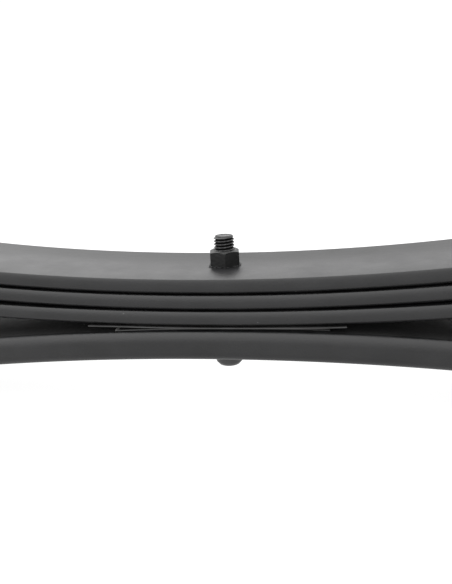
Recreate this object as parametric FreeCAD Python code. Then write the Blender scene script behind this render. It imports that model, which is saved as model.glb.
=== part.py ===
"""Four-leaf semi-elliptic truck spring: three nested leaves over a thick, reverse-arched overload leaf.

Row frame: X runs along the spring from the front eye (-X) to the rear eye (+X), Y runs across the
leaves, and Z is up. The origin is on the centre bolt's axis, on the underside of the overload leaf.
All lengths are millimetres and all angles are degrees.
"""
import FreeCAD, Part
import math
import os

# ---- driving dimensions ------------------------------------------------------------------------

# leaves
LEAF_WIDTH = 60.0
LEAF_THICKNESS = 7.5             # main, second and third leaf
LEAF_EDGE_RADIUS = 3.0           # rolled edge of the thin leaves
MAIN_ARC_RADIUS = 1150.0         # top face of the main leaf
OVERLOAD_THICKNESS = 14.5
OVERLOAD_EDGE_RADIUS = 5.0
OVERLOAD_ARC_RADIUS = 1406.0     # underside of the overload leaf, arched the other way
PAINT_GAP = 0.1                  # between neighbouring leaves at the centre bolt

# reach of each leaf from the centre bolt, along X
FRONT_EYE_REACH = 600.0
REAR_EYE_REACH = 650.0
SECOND_FRONT_REACH = 500.0
SECOND_REAR_REACH = 545.0
THIRD_FRONT_REACH = 380.0
THIRD_REAR_REACH = 410.0
OVERLOAD_FRONT_REACH = 260.0
OVERLOAD_REAR_REACH = 280.0
TIP_CLIP = 12.0                  # corners cut off the tips of the lower leaves

# eyes and bushes
FRONT_EYE_BORE = 42.0
REAR_EYE_BORE = 36.0
EYE_TIP_GAP = 2.0                # between the curled tip and the leaf it curls back to
PRESS_CLEARANCE = 0.05
RUNNING_CLEARANCE = 0.05
FRONT_SHELL_WALL = 1.5
SHELL_INSET = 1.0                # each end of the shell inside the eye
RUBBER_STAND_OUT = 2.0           # each end of the front rubber past the eye
FRONT_RUBBER_LIP = 2.0           # the rubber's bulge past the bore of the shell
FRONT_PIN_BORE = 14.2
REAR_PIN_BORE = 16.4
SLEEVE_WALL = 3.4
SLEEVE_STAND_OUT = 6.0           # each end of a sleeve past the eye
REAR_FLANGE_THICKNESS = 5.0
REAR_FLANGE_OVERHANG = 8.0
REAR_BUSH_SPLIT = 3.0            # gap between the two half bushes inside the eye

# centre bolt and nut
BOLT_DIAMETER = 10.0
BOLT_HOLE_CLEARANCE = 0.3        # radial
BOLT_END_ABOVE_LEAF = 14.75
BOLT_END_CHAMFER = 1.0
HEAD_DIAMETER = 13.4
HEAD_FOOT_DIAMETER = 10.6
HEAD_HEIGHT = 12.0
HEAD_CHAMFER = 1.8
HEAD_SEAT_DIAMETER = 14.0        # flat seat for the bolt's head on the overload leaf
NUT_ACROSS_FLATS = 14.0
NUT_HEIGHT = 7.8
NUT_TURN = 10.0                  # how far a corner of the nut stands off the -Y direction

# seat liners
LINER_THICKNESS = 0.8
LINER_GAP = 0.08
UPPER_LINER_FRONT = 62.0
UPPER_LINER_REAR = 58.0
LOWER_LINER_FRONT = 50.0
LOWER_LINER_REAR = 50.0
LINER_INSET = 1.0                # each side of the upper liner inside the leaves
LOWER_LINER_INSET = 3.0
UPPER_LINER_FLATTENING = 1.25    # the upper liner's arc radius over that of the leaf above it

# tip pads
SECOND_PAD_THICKNESS = 3.0
THIRD_PAD_THICKNESS = 5.0
PAD_LENGTH = 40.0
PAD_WIDTH = 48.0
PAD_SETBACK = 6.0                # from the leaf's tip
PAD_CLEARANCE = 0.06
PAD_LANDING = 55.0               # stretch at a tip that runs parallel to the leaf above
PAD_NUB_DIAMETER = 10.0
PAD_NUB_CLEARANCE = 0.2
PAD_NUB_PROUD = 1.5
PAD_EDGE = 1.0

# rebound clips
CLIP_SETBACK = 75.0              # from the third leaf's tip to the middle of the clip
CLIP_WIDTH = 25.0
CLIP_STRAP = 4.0
CLIP_SIDE_GAP = 0.8
CLIP_BEND_RADIUS = 3.0
CLIP_TOP_GAP = 1.5               # between the main leaf and the spacer tube
CLIP_BOLT_DIAMETER = 8.0
CLIP_HOLE_CLEARANCE = 0.3
SPACER_WALL = 2.6
SPACER_END_GAP = 0.1
CLIP_HEX_FLATS = 12.0
CLIP_HEAD_HEIGHT = 5.3
CLIP_NUT_HEIGHT = 6.5
CLIP_THREAD_PROUD = 4.0
RIVET_DIAMETER = 9.0
RIVET_CLEARANCE = 0.1
RIVET_HEAD_DIAMETER = 16.0
RIVET_HEAD_HEIGHT = 4.0
RIVET_TAIL_DIAMETER = 13.0
RIVET_TAIL_HEIGHT = 2.0
CONTACT_GAP = 0.03               # between a flat piece and the curved leaf that it lies on

# ---- derived heights ---------------------------------------------------------------------------

LOWER_LINER_Z = OVERLOAD_THICKNESS + LINER_GAP
UPPER_LINER_Z = LOWER_LINER_Z + LINER_THICKNESS + LINER_GAP
THIRD_BOTTOM_Z = UPPER_LINER_Z + LINER_THICKNESS + LINER_GAP
PITCH = LEAF_THICKNESS + PAINT_GAP
SECOND_BOTTOM_Z = THIRD_BOTTOM_Z + PITCH
MAIN_BOTTOM_Z = SECOND_BOTTOM_Z + PITCH
MAIN_TOP_Z = MAIN_BOTTOM_Z + LEAF_THICKNESS
HALF_WIDTH = LEAF_WIDTH / 2
Y_AXIS = FreeCAD.Vector(0, 1, 0)


def vec(x, y, z):
    return FreeCAD.Vector(x, y, z)


# ---- arcs in the XZ plane ----------------------------------------------------------------------

class Arc:
    """A stretch of leaf: its mid line turns about (cx, cz) at radius r. The angle is the leaf's slope,
    from start to end, and sign is +1 for a leaf that is hollow on top and -1 for one that is crowned."""

    def __init__(self, cx, cz, r, start, end, sign=1):
        self.cx, self.cz, self.r, self.start, self.end, self.sign = cx, cz, r, start, end, sign

    def point(self, slope, offset=0.0):
        """Point at that slope, offset upwards from the mid line."""
        r = self.r - self.sign * offset
        return (self.cx + self.sign * r * math.sin(slope), self.cz - self.sign * r * math.cos(slope))

    def solid(self, width, thickness, edge):
        """The stretch as a bar with rounded edges, made by turning its section about the arc's centre."""
        section = bar_section(width, thickness, edge)
        x, z = self.point(self.start)
        section.rotate(vec(0, 0, 0), Y_AXIS, -math.degrees(self.start))
        section.translate(vec(x, 0, z))
        turn = math.degrees(self.end - self.start)
        return section.revolve(vec(self.cx, 0, self.cz), vec(0, -1, 0), turn)


def bar_section(width, thickness, edge):
    """Rounded rectangle in the YZ plane, centred on the origin."""
    w, t, e = width / 2, thickness / 2, edge
    q = e * (1 - math.sqrt(0.5))
    flat = [((-w + e, -t), (w - e, -t)), ((w, -t + e), (w, t - e)),
            ((w - e, t), (-w + e, t)), ((-w, t - e), (-w, -t + e))]
    mids = [(w - q, -t + q), (w - q, t - q), (-w + q, t - q), (-w + q, -t + q)]
    edges = []
    for i, (a, b) in enumerate(flat):
        nxt = flat[(i + 1) % 4][0]
        edges.append(Part.LineSegment(vec(0, *a), vec(0, *b)).toShape())
        edges.append(Part.Arc(vec(0, *b), vec(0, *mids[i]), vec(0, *nxt)).toShape())
    return Part.Face(Part.Wire(edges))


def fuse_all(solids):
    """One solid from stretches that share their end faces."""
    body = solids[0]
    if len(solids) > 1:
        body = body.multiFuse(solids[1:])
    body = body.removeSplitter()
    return body.Solids[0] if len(body.Solids) == 1 else body


def single_arc(bottom_z, bottom_radius, thickness, front, rear, sign=1):
    """One arc over both halves of a leaf whose underside passes through bottom_z at the centre bolt.
    front and rear are reaches along X."""
    mid = bottom_radius - sign * thickness / 2
    cz = bottom_z + sign * bottom_radius
    start = math.asin(-front / mid)
    end = math.asin(rear / mid)
    if sign < 0:
        start, end = math.asin(front / mid), math.asin(-rear / mid)
    return Arc(0.0, cz, mid, start, end, sign)


def nested_half(top_z, upper, gap, reach, side):
    """Arcs of one half of a leaf that starts PAINT_GAP under the leaf above and ends gap under it.

    upper is the arc of the leaf above that the tip lies under. The first arc is flatter than that leaf
    and the second is tighter, each over half the way, and the landing is concentric with the leaf above.
    side is -1 at the front and 1 at the rear. Each arc's mid line is returned, from the bolt outwards."""
    half = LEAF_THICKNESS / 2
    r_land = upper.r + LEAF_THICKNESS + gap          # mid line of the landing
    tip = math.asin((side * reach - upper.cx) / r_land)
    land = math.asin((side * (reach - PAD_LANDING) - upper.cx) / r_land)
    first = land / 2
    z0 = top_z - half
    # two arcs, tangent to each other and to the landing: linear in their radii
    a11, a12 = math.sin(first), math.sin(land) - math.sin(first)
    a21, a22 = 1 - math.cos(first), math.cos(first) - math.cos(land)
    b1 = upper.cx + r_land * math.sin(land)
    b2 = upper.cz - r_land * math.cos(land) - z0
    det = a11 * a22 - a12 * a21
    r1 = (b1 * a22 - a12 * b2) / det
    r2 = (a11 * b2 - b1 * a21) / det
    c1 = (0.0, z0 + r1)
    c2 = (c1[0] + (r1 - r2) * math.sin(first), c1[1] - (r1 - r2) * math.cos(first))
    return [Arc(*c1, r1, 0.0, first), Arc(*c2, r2, first, land), Arc(upper.cx, upper.cz, r_land, land, tip)]


def arc_under(arcs, x):
    """The arc of a half leaf that holds the point at that x."""
    for arc in arcs:
        if abs(x) <= abs(arc.point(arc.end)[0]) + 1e-6:
            return arc
    return arcs[-1]


def slope_at(arc, x):
    return math.asin(arc.sign * (x - arc.cx) / arc.r)


# ---- leaf lines --------------------------------------------------------------------------------

MAIN_MID_RADIUS = MAIN_ARC_RADIUS + LEAF_THICKNESS / 2
FRONT_EYE_MID = (FRONT_EYE_BORE + LEAF_THICKNESS) / 2
REAR_EYE_MID = (REAR_EYE_BORE + LEAF_THICKNESS) / 2
FRONT_EYE_SLOPE = -math.asin(FRONT_EYE_REACH / (MAIN_MID_RADIUS - FRONT_EYE_MID))
REAR_EYE_SLOPE = math.asin(REAR_EYE_REACH / (MAIN_MID_RADIUS - REAR_EYE_MID))
MAIN_ARC = Arc(0.0, MAIN_TOP_Z + MAIN_ARC_RADIUS, MAIN_MID_RADIUS, FRONT_EYE_SLOPE, REAR_EYE_SLOPE)
FRONT_EYE = MAIN_ARC.point(FRONT_EYE_SLOPE, FRONT_EYE_MID)
REAR_EYE = MAIN_ARC.point(REAR_EYE_SLOPE, REAR_EYE_MID)

SECOND_TOP_Z = MAIN_BOTTOM_Z - PAINT_GAP
THIRD_TOP_Z = SECOND_BOTTOM_Z - PAINT_GAP
SECOND_FRONT = nested_half(SECOND_TOP_Z, MAIN_ARC, SECOND_PAD_THICKNESS, SECOND_FRONT_REACH, -1)
SECOND_REAR = nested_half(SECOND_TOP_Z, MAIN_ARC, SECOND_PAD_THICKNESS, SECOND_REAR_REACH, 1)
THIRD_FRONT = nested_half(THIRD_TOP_Z, arc_under(SECOND_FRONT, THIRD_FRONT_REACH), THIRD_PAD_THICKNESS,
                          THIRD_FRONT_REACH, -1)
THIRD_REAR = nested_half(THIRD_TOP_Z, arc_under(SECOND_REAR, THIRD_REAR_REACH), THIRD_PAD_THICKNESS,
                         THIRD_REAR_REACH, 1)
OVERLOAD_ARC = single_arc(0.0, OVERLOAD_ARC_RADIUS, OVERLOAD_THICKNESS, OVERLOAD_FRONT_REACH,
                          OVERLOAD_REAR_REACH, -1)


# ---- solids ------------------------------------------------------------------------------------

def cylinder(radius, length, base, direction):
    return Part.makeCylinder(radius, length, base, direction)


def tube(outer, inner, y0, y1, centre):
    """Ring about an axis along Y through centre (x, z)."""
    base = vec(centre[0], y0, centre[1])
    ring = cylinder(outer, y1 - y0, base, Y_AXIS)
    return ring.cut(cylinder(inner, y1 - y0, base, Y_AXIS))


def hexagon(flats, height, chamfer, corner_turn=0.0):
    """Hexagonal prism on the XY plane with its corners turned off at both ends, one corner towards -Y."""
    corner = flats / math.sqrt(3)
    points = []
    for i in range(7):
        angle = math.radians(-90 + corner_turn + 60 * i)
        points.append(vec(corner * math.cos(angle), corner * math.sin(angle), 0))
    prism = Part.Face(Part.makePolygon(points)).extrude(vec(0, 0, height))
    drop = chamfer
    low = Part.makeCone(flats / 2 - 0.1, corner + 0.1, drop, vec(0, 0, 0))
    middle = cylinder(corner + 0.1, height - 2 * drop, vec(0, 0, drop), vec(0, 0, 1))
    high = Part.makeCone(corner + 0.1, flats / 2 - 0.1, drop, vec(0, 0, height - drop))
    return prism.common(low.fuse([middle, high]))


def place(shape, x, z, slope):
    """Moves a piece made at the origin to a point on a leaf and tilts it to the leaf's slope."""
    shape.rotate(vec(0, 0, 0), Y_AXIS, -math.degrees(slope))
    shape.translate(vec(x, 0, z))
    return shape


def hole_through(x, z, slope, radius):
    """A drill normal to a leaf there, longer than any leaf is thick."""
    depth = 2 * (OVERLOAD_THICKNESS + LEAF_THICKNESS)
    return place(cylinder(radius, depth, vec(0, 0, -depth / 2), vec(0, 0, 1)), x, z, slope)


def bolt_hole(z):
    return hole_through(0.0, z, 0.0, BOLT_DIAMETER / 2 + BOLT_HOLE_CLEARANCE)


def tip_corners(arc, slope, side):
    """Two prisms that cut the corners off a leaf's tip."""
    x, z = arc.point(slope)
    depth = 2 * OVERLOAD_THICKNESS
    cutters = []
    for hand in (-1, 1):
        corner = [vec(0, hand * (HALF_WIDTH + 1), 0), vec(0, hand * (HALF_WIDTH - TIP_CLIP), 0),
                  vec(-side * (TIP_CLIP + 1), hand * (HALF_WIDTH + 1), 0)]
        face = Part.Face(Part.makePolygon(corner + corner[:1]))
        prism = face.extrude(vec(0, 0, depth))
        prism.translate(vec(side * 0.01, 0, -depth / 2))
        cutters.append(place(prism, x, z, slope))
    return cutters


def eye_arc(centre, mid, bore, slope, side):
    """The curl that closes an eye: it turns on from the leaf's end, up and back, short of the leaf."""
    outer = bore / 2 + LEAF_THICKNESS
    reach_back = math.acos((bore / 2 + EYE_TIP_GAP) / outer)
    turn = 2 * math.pi - reach_back
    start, end = slope, slope + side * turn
    return Arc(centre[0], centre[1], mid, start, end)


def main_leaf():
    front = eye_arc(FRONT_EYE, FRONT_EYE_MID, FRONT_EYE_BORE, FRONT_EYE_SLOPE, -1)
    rear = eye_arc(REAR_EYE, REAR_EYE_MID, REAR_EYE_BORE, REAR_EYE_SLOPE, 1)
    stretches = [arc.solid(LEAF_WIDTH, LEAF_THICKNESS, LEAF_EDGE_RADIUS) for arc in (MAIN_ARC, front, rear)]
    return fuse_all(stretches).cut(bolt_hole(MAIN_BOTTOM_Z))


def pad_place(arcs, reach, side):
    """Arc and slope at the middle of the pad on a leaf's tip."""
    x = side * (reach - PAD_SETBACK - PAD_LENGTH / 2)
    return arcs[-1], slope_at(arcs[-1], x)


def nested_leaf(front, rear, bottom_z, front_reach, rear_reach, extra_holes=()):
    """A lower leaf: its arcs, its bolt hole, the holes that hold its pads and its trimmed tips."""
    stretches = [arc.solid(LEAF_WIDTH, LEAF_THICKNESS, LEAF_EDGE_RADIUS) for arc in front + rear]
    cutters = [bolt_hole(bottom_z)]
    for arcs, reach, side in ((front, front_reach, -1), (rear, rear_reach, 1)):
        arc, slope = pad_place(arcs, reach, side)
        cutters.append(hole_through(*arc.point(slope), slope, PAD_NUB_DIAMETER / 2 + PAD_NUB_CLEARANCE))
        cutters += tip_corners(arcs[-1], arcs[-1].end, side)
    return fuse_all(stretches).cut(cutters + list(extra_holes))


def overload_leaf():
    body = OVERLOAD_ARC.solid(LEAF_WIDTH, OVERLOAD_THICKNESS, OVERLOAD_EDGE_RADIUS)
    cutters = [bolt_hole(0.0), cylinder(HEAD_SEAT_DIAMETER / 2, 1.0, vec(0, 0, 0), vec(0, 0, -1))]
    cutters += tip_corners(OVERLOAD_ARC, OVERLOAD_ARC.start, -1)
    cutters += tip_corners(OVERLOAD_ARC, OVERLOAD_ARC.end, 1)
    return body.cut(cutters)


def tip_pad(arcs, reach, side, thickness):
    """A moulded pad that lies on a leaf's tip, with a nub down through the leaf."""
    arc, slope = pad_place(arcs, reach, side)
    half_angle = PAD_LENGTH / 2 / arc.r
    body = thickness - 2 * PAD_CLEARANCE
    lift = LEAF_THICKNESS / 2 + thickness / 2
    mid = Arc(arc.cx, arc.cz, arc.r - lift, slope - half_angle, slope + half_angle)
    pad = mid.solid(PAD_WIDTH, body, min(PAD_EDGE, body * 0.4))
    depth = LEAF_THICKNESS + PAD_NUB_PROUD + thickness / 2
    nub = cylinder(PAD_NUB_DIAMETER / 2, depth, vec(0, 0, -LEAF_THICKNESS / 2 - PAD_NUB_PROUD), vec(0, 0, 1))
    return pad.fuse(place(nub, *arc.point(slope), slope)).removeSplitter()


# ---- centre bolt, nut and liners ---------------------------------------------------------------

def centre_bolt():
    head = cylinder(HEAD_DIAMETER / 2, HEAD_HEIGHT - HEAD_CHAMFER, vec(0, 0, 0), vec(0, 0, -1))
    foot = Part.makeCone(HEAD_DIAMETER / 2, HEAD_FOOT_DIAMETER / 2, HEAD_CHAMFER,
                         vec(0, 0, HEAD_CHAMFER - HEAD_HEIGHT), vec(0, 0, -1))
    top = MAIN_TOP_Z + BOLT_END_ABOVE_LEAF
    shank = cylinder(BOLT_DIAMETER / 2, top - BOLT_END_CHAMFER, vec(0, 0, 0), vec(0, 0, 1))
    point = Part.makeCone(BOLT_DIAMETER / 2, BOLT_DIAMETER / 2 - BOLT_END_CHAMFER, BOLT_END_CHAMFER,
                          vec(0, 0, top - BOLT_END_CHAMFER))
    return head.fuse([foot, shank, point]).removeSplitter()


def bored(shape, radius, length):
    return shape.cut(cylinder(radius, length, vec(0, 0, 0), vec(0, 0, 1)))


def centre_nut():
    chamfer = (NUT_ACROSS_FLATS / math.sqrt(3) - NUT_ACROSS_FLATS / 2) * math.tan(math.radians(35))
    nut = bored(hexagon(NUT_ACROSS_FLATS, NUT_HEIGHT, chamfer, NUT_TURN), BOLT_DIAMETER / 2 + PRESS_CLEARANCE,
                NUT_HEIGHT)
    lift = (NUT_ACROSS_FLATS / 2) ** 2 / 2 / MAIN_ARC_RADIUS + CONTACT_GAP
    nut.translate(vec(0, 0, MAIN_TOP_Z + lift))
    return nut


def liner(arc, front, rear, width):
    """A thin sheet under the centre bolt, from front to rear along X."""
    sheet = Arc(arc.cx, arc.cz, arc.r, slope_at(arc, -front), slope_at(arc, rear), arc.sign)
    body = sheet.solid(width, LINER_THICKNESS, LINER_THICKNESS * 0.3)
    return body.cut(bolt_hole(OVERLOAD_THICKNESS))


def upper_liner():
    radius = THIRD_FRONT[0].r * UPPER_LINER_FLATTENING
    mid_z = UPPER_LINER_Z + LINER_THICKNESS / 2
    return liner(Arc(0.0, mid_z + radius, radius, 0, 0), UPPER_LINER_FRONT, UPPER_LINER_REAR,
                 LEAF_WIDTH - 2 * LINER_INSET)


def lower_liner():
    radius = OVERLOAD_ARC.r + OVERLOAD_THICKNESS / 2 + LINER_GAP + LINER_THICKNESS / 2
    width = LEAF_WIDTH - 2 * LOWER_LINER_INSET
    return liner(Arc(0.0, OVERLOAD_ARC.cz, radius, 0, 0, -1), LOWER_LINER_FRONT, LOWER_LINER_REAR, width)


# ---- bushes ------------------------------------------------------------------------------------

FRONT_SLEEVE_RADIUS = FRONT_PIN_BORE / 2 + SLEEVE_WALL
REAR_SLEEVE_RADIUS = REAR_PIN_BORE / 2 + SLEEVE_WALL
FRONT_SHELL_RADIUS = FRONT_EYE_BORE / 2 - PRESS_CLEARANCE
SLEEVE_HALF = HALF_WIDTH + SLEEVE_STAND_OUT


def front_eye_shell():
    half = HALF_WIDTH - SHELL_INSET
    return tube(FRONT_SHELL_RADIUS, FRONT_SHELL_RADIUS - FRONT_SHELL_WALL, -half, half, FRONT_EYE)


def front_eye_rubber():
    """Rubber between the shell and the sleeve, with a lip past each end of the eye."""
    half, lip_start = HALF_WIDTH + RUBBER_STAND_OUT, HALF_WIDTH
    outer = FRONT_SHELL_RADIUS - FRONT_SHELL_WALL - PRESS_CLEARANCE
    inner = FRONT_SLEEVE_RADIUS + RUNNING_CLEARANCE
    core = cylinder(outer, 2 * half, vec(FRONT_EYE[0], -half, FRONT_EYE[1]), Y_AXIS)
    for hand in (-1, 1):
        start = vec(FRONT_EYE[0], hand * (lip_start + PRESS_CLEARANCE), FRONT_EYE[1])
        height = half - lip_start - PRESS_CLEARANCE
        core = core.fuse(Part.makeCone(outer + FRONT_RUBBER_LIP, outer, height, start, vec(0, hand, 0)))
    bore = cylinder(inner, 2 * half, vec(FRONT_EYE[0], -half, FRONT_EYE[1]), Y_AXIS)
    return core.cut(bore).removeSplitter()


def sleeve(radius, bore, centre):
    return tube(radius, bore / 2, -SLEEVE_HALF, SLEEVE_HALF, centre)


def rear_half_bush(hand):
    """A flanged half bush pushed into the rear eye from one side."""
    inner = REAR_SLEEVE_RADIUS + RUNNING_CLEARANCE
    body_radius = REAR_EYE_BORE / 2 - PRESS_CLEARANCE
    start, face = REAR_BUSH_SPLIT / 2, HALF_WIDTH + PRESS_CLEARANCE
    end = face + REAR_FLANGE_THICKNESS
    low, high = sorted((hand * start, hand * end))
    body = tube(body_radius, inner, low, high, REAR_EYE)
    low, high = sorted((hand * face, hand * end))
    flange = tube(REAR_EYE_BORE / 2 + REAR_FLANGE_OVERHANG, inner, low, high, REAR_EYE)
    return body.fuse(flange).removeSplitter()


# ---- rebound clips -----------------------------------------------------------------------------

STRAP_INNER = HALF_WIDTH + CLIP_SIDE_GAP
SPACER_RADIUS = CLIP_BOLT_DIAMETER / 2 + CLIP_HOLE_CLEARANCE + SPACER_WALL


class Clip:
    """One rebound clip, built at the origin of the third leaf's underside and then put in place."""

    def __init__(self, third, second, reach, side):
        x = side * (reach - CLIP_SETBACK)
        self.side = side
        self.arc = arc_under(third, x)
        self.slope = slope_at(self.arc, x)
        self.foot = self.arc.point(self.slope, -LEAF_THICKNESS / 2 - CONTACT_GAP)
        self.gap_above = self.clear_height(second)
        main_top = self.height_of_main_top()
        self.bolt_height = main_top + CLIP_TOP_GAP + SPACER_RADIUS

    def ray_height(self, arc, offset):
        """Height above the foot, along the clip's own normal, of the surface offset from an arc's mid line."""
        radius = arc.r - arc.sign * offset
        dx, dz = self.foot[0] - arc.cx, self.foot[1] - arc.cz
        nx, nz = -math.sin(self.slope), math.cos(self.slope)
        b = dx * nx + dz * nz
        return -b - math.sqrt(b * b - dx * dx - dz * dz + radius * radius)

    def clear_height(self, second):
        """Room between the third leaf's top face and the second leaf."""
        above = arc_under(second, self.foot[0])
        return self.ray_height(above, -LEAF_THICKNESS / 2) - LEAF_THICKNESS

    def height_of_main_top(self):
        return self.ray_height(MAIN_ARC, LEAF_THICKNESS / 2)

    def put(self, shape):
        return place(shape, self.foot[0], self.foot[1], self.slope)

    def rivet_hole(self):
        radius = RIVET_DIAMETER / 2 + RIVET_CLEARANCE
        return hole_through(self.foot[0], self.foot[1], self.slope, radius)

    def strap(self):
        outer_y = STRAP_INNER + CLIP_STRAP
        ear = self.bolt_height
        top = ear + CLIP_WIDTH / 2
        outer = Part.makeBox(CLIP_WIDTH, 2 * outer_y, top + CLIP_STRAP,
                             vec(-CLIP_WIDTH / 2, -outer_y, -CLIP_STRAP))
        inner = Part.makeBox(CLIP_WIDTH, 2 * STRAP_INNER, top, vec(-CLIP_WIDTH / 2, -STRAP_INNER, 0))
        low_edges = [e for e in outer.Edges if self.is_bend(e, outer_y, -CLIP_STRAP)]
        outer = outer.makeFillet(CLIP_BEND_RADIUS + CLIP_STRAP / 2, low_edges)
        body = outer.cut(inner)
        rounding = cylinder(CLIP_WIDTH / 2, 2 * outer_y, vec(0, -outer_y, ear), Y_AXIS)
        below = Part.makeBox(CLIP_WIDTH, 2 * outer_y, ear + CLIP_STRAP, vec(-CLIP_WIDTH / 2, -outer_y, -CLIP_STRAP))
        body = body.common(rounding.fuse(below))
        body = body.cut(cylinder(CLIP_BOLT_DIAMETER / 2 + CLIP_HOLE_CLEARANCE, 2 * outer_y, vec(0, -outer_y, ear),
                                 Y_AXIS))
        body = body.cut(cylinder(RIVET_DIAMETER / 2 + RIVET_CLEARANCE, CLIP_STRAP, vec(0, 0, -CLIP_STRAP),
                                 vec(0, 0, 1)))
        return self.put(body.removeSplitter())

    @staticmethod
    def is_bend(edge, y, z):
        """True for the strap's two lower outside edges, which run along X."""
        a, b = edge.Vertexes[0].Point, edge.Vertexes[-1].Point
        along = abs(a.y - b.y) < 1e-6 and abs(a.z - b.z) < 1e-6
        return along and abs(abs(a.y) - y) < 1e-6 and abs(a.z - z) < 1e-6

    def rivet(self):
        low = -CLIP_STRAP - CONTACT_GAP
        high = LEAF_THICKNESS + 3 * CONTACT_GAP
        tail = min(RIVET_TAIL_HEIGHT, self.gap_above * 0.6)
        shank = cylinder(RIVET_DIAMETER / 2, high - low, vec(0, 0, low), vec(0, 0, 1))
        sphere_radius = ((RIVET_HEAD_DIAMETER / 2) ** 2 + RIVET_HEAD_HEIGHT ** 2) / 2 / RIVET_HEAD_HEIGHT
        ball = Part.makeSphere(sphere_radius, vec(0, 0, low - RIVET_HEAD_HEIGHT + sphere_radius))
        slab = cylinder(RIVET_HEAD_DIAMETER, RIVET_HEAD_HEIGHT, vec(0, 0, low), vec(0, 0, -1))
        head = ball.common(slab)
        cap = Part.makeCone(RIVET_TAIL_DIAMETER / 2, RIVET_DIAMETER / 2, tail, vec(0, 0, high))
        return self.put(shank.fuse([head, cap]).removeSplitter())

    def across(self, shape, y):
        """Turns a piece that stands along Z to lie along Y, with its foot at that y on the bolt's axis."""
        shape.rotate(vec(0, 0, 0), vec(1, 0, 0), -90)
        shape.translate(vec(0, y, self.bolt_height))
        return self.put(shape)

    def bolt(self):
        seat = STRAP_INNER + CLIP_STRAP + CONTACT_GAP
        length = 2 * seat + CLIP_NUT_HEIGHT + CLIP_THREAD_PROUD
        head = hexagon(CLIP_HEX_FLATS, CLIP_HEAD_HEIGHT, 0.8)
        shank = cylinder(CLIP_BOLT_DIAMETER / 2, length + CLIP_HEAD_HEIGHT / 2, vec(0, 0, CLIP_HEAD_HEIGHT / 2),
                         vec(0, 0, 1))
        return self.across(head.fuse(shank).removeSplitter(), -seat - CLIP_HEAD_HEIGHT)

    def nut(self):
        seat = STRAP_INNER + CLIP_STRAP + CONTACT_GAP
        body = bored(hexagon(CLIP_HEX_FLATS, CLIP_NUT_HEIGHT, 0.8, 12.0),
                     CLIP_BOLT_DIAMETER / 2 + PRESS_CLEARANCE, CLIP_NUT_HEIGHT)
        return self.across(body, seat)

    def spacer(self):
        half = STRAP_INNER - SPACER_END_GAP
        ring = cylinder(SPACER_RADIUS, 2 * half, vec(0, 0, 0), vec(0, 0, 1))
        ring = ring.cut(cylinder(SPACER_RADIUS - SPACER_WALL, 2 * half, vec(0, 0, 0), vec(0, 0, 1)))
        return self.across(ring, -half)


# ---- build -------------------------------------------------------------------------------------

def build():
    front_clip = Clip(THIRD_FRONT, SECOND_FRONT, THIRD_FRONT_REACH, -1)
    rear_clip = Clip(THIRD_REAR, SECOND_REAR, THIRD_REAR_REACH, 1)
    parts = {
        "main_leaf": main_leaf(),
        "second_leaf": nested_leaf(SECOND_FRONT, SECOND_REAR, SECOND_BOTTOM_Z, SECOND_FRONT_REACH,
                                   SECOND_REAR_REACH),
        "third_leaf": nested_leaf(THIRD_FRONT, THIRD_REAR, THIRD_BOTTOM_Z, THIRD_FRONT_REACH,
                                  THIRD_REAR_REACH, (front_clip.rivet_hole(), rear_clip.rivet_hole())),
        "overload_leaf": overload_leaf(),
        "upper_seat_liner": upper_liner(),
        "lower_seat_liner": lower_liner(),
        "centre_bolt": centre_bolt(),
        "centre_nut": centre_nut(),
        "front_second_leaf_pad": tip_pad(SECOND_FRONT, SECOND_FRONT_REACH, -1, SECOND_PAD_THICKNESS),
        "rear_second_leaf_pad": tip_pad(SECOND_REAR, SECOND_REAR_REACH, 1, SECOND_PAD_THICKNESS),
        "front_third_leaf_pad": tip_pad(THIRD_FRONT, THIRD_FRONT_REACH, -1, THIRD_PAD_THICKNESS),
        "rear_third_leaf_pad": tip_pad(THIRD_REAR, THIRD_REAR_REACH, 1, THIRD_PAD_THICKNESS),
        "front_eye_shell": front_eye_shell(),
        "front_eye_rubber": front_eye_rubber(),
        "front_eye_sleeve": sleeve(FRONT_SLEEVE_RADIUS, FRONT_PIN_BORE, FRONT_EYE),
        "rear_eye_bush_left": rear_half_bush(-1),
        "rear_eye_bush_right": rear_half_bush(1),
        "rear_eye_sleeve": sleeve(REAR_SLEEVE_RADIUS, REAR_PIN_BORE, REAR_EYE),
    }
    for end, clip in (("front", front_clip), ("rear", rear_clip)):
        parts[end + "_clip_strap"] = clip.strap()
        parts[end + "_clip_rivet"] = clip.rivet()
        parts[end + "_clip_bolt"] = clip.bolt()
        parts[end + "_clip_nut"] = clip.nut()
        parts[end + "_clip_spacer"] = clip.spacer()
    os.makedirs("parts", exist_ok=True)
    for name, shape in parts.items():
        solid = shape.Solids[0] if len(shape.Solids) == 1 else shape
        print(f"{name:24s} solids {len(shape.Solids)} valid {shape.isValid()} volume {shape.Volume:10.1f}")
        solid.exportStep(f"parts/{name}.step")
    print("front eye", FRONT_EYE, "rear eye", REAR_EYE, "main leaf top", MAIN_TOP_Z)


build()
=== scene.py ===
# %% [markdown]
# # A truck leaf spring
#
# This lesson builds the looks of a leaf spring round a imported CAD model. The CAD model is the frame:
# it says how large every piece is and which pieces move together. Blender adds what a drawing leaves
# out, such as rolled edges, threads, moulding marks, grain, overspray and wear.

# %% Load the CAD frame
import math

import bmesh
import bpy
from mathutils import Matrix, Vector


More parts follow.
